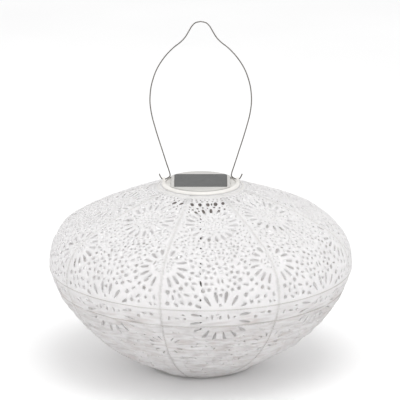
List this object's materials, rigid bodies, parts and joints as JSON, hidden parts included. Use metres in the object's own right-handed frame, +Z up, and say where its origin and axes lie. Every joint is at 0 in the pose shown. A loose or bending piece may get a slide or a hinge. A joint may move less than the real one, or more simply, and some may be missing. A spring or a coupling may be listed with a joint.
{
  "type": "hanging solar lantern",
  "caption": "Saucer-shaped lace fabric shade on a wire frame, with a lift-out solar light module in its collar and a folding wire bail to hang it by.",
  "frame": {"origin": "centre of the bottom ring's lower face, which is the bottom centre of the bounding box", "axes": "+Z up along the shade's axis; the upright bail stands in the XZ plane; -Y is the side seen in front"},
  "size_m": [0.3028, 0.3028, 0.3557],
  "materials": {
    "cloth": "woven",
    "white_plastic": "satin",
    "taupe_plastic": "satin",
    "coated_wire": "white coating",
    "stainless": "drawn wire",
    "spring_steel": "dull",
    "panel_face": "clear coated",
    "gasket_rubber": "matt",
    "zinc_plate": "plated",
    "board": "solder mask",
    "cell_wrap": "shrink sleeve",
    "led_clear": "clear epoxy",
    "black_plastic": "satin",
    "red_pvc": "insulation",
    "black_pvc": "insulation"
  },
  "bodies": {
    "shade_frame": {"shade_gore_1": "cloth", "shade_gore_2": "cloth", "shade_gore_3": "cloth", "shade_gore_4": "cloth", "shade_gore_5": "cloth", "shade_gore_6": "cloth", "shade_gore_7": "cloth", "shade_gore_8": "cloth", "rib_wire_1": "coated_wire", "rib_wire_2": "coated_wire", "rib_wire_3": "coated_wire", "rib_wire_4": "coated_wire", "rib_wire_5": "coated_wire", "rib_wire_6": "coated_wire", "rib_wire_7": "coated_wire", "rib_wire_8": "coated_wire", "equator_hoop": "coated_wire", "lower_hoop": "coated_wire", "stretcher_strut_front": "spring_steel", "stretcher_strut_back": "spring_steel", "bottom_ring": "white_plastic", "collar": "white_plastic", "clamp_ring": "white_plastic"},
    "bail": {"wire_bail": "stainless"},
    "light_module": {"upper_housing": "white_plastic", "lower_housing": "taupe_plastic", "solar_panel": "panel_face", "panel_gasket": "gasket_rubber", "door_hinge_pin": "zinc_plate", "rechargeable_cell": "cell_wrap", "contact_plate": "zinc_plate", "contact_spring": "zinc_plate", "circuit_board": "board", "led_left": "led_clear", "led_right": "led_clear", "switch_body": "black_plastic", "housing_screw_1": "zinc_plate", "housing_screw_2": "zinc_plate", "housing_screw_3": "zinc_plate", "housing_screw_4": "zinc_plate", "solar_lead_positive": "red_pvc", "solar_lead_negative": "black_pvc", "cell_lead_positive": "red_pvc", "cell_lead_negative": "black_pvc"},
    "door": {"battery_door": "taupe_plastic"},
    "knob": {"switch_knob": "black_plastic"}
  },
  "joints": [
    {"name": "bail_hinge", "type": "hinge", "parent": "shade_frame", "child": "bail", "pos_m": [0, 0, 0.194], "axis": [1, 0, 0], "range_deg": [-88, 88]},
    {"name": "module_lift", "type": "slide", "parent": "shade_frame", "child": "light_module", "axis": [0, 0, 1], "range_m": [0, 0.06]},
    {"name": "door_hinge", "type": "hinge", "parent": "light_module", "child": "door", "pos_m": [0, -0.0096, 0.1646], "axis": [-1, 0, 0], "range_deg": [0, 95]},
    {"name": "switch_slide", "type": "slide", "parent": "light_module", "child": "knob", "axis": [1, 0, 0], "range_m": [0, 0.004]}
  ]
}
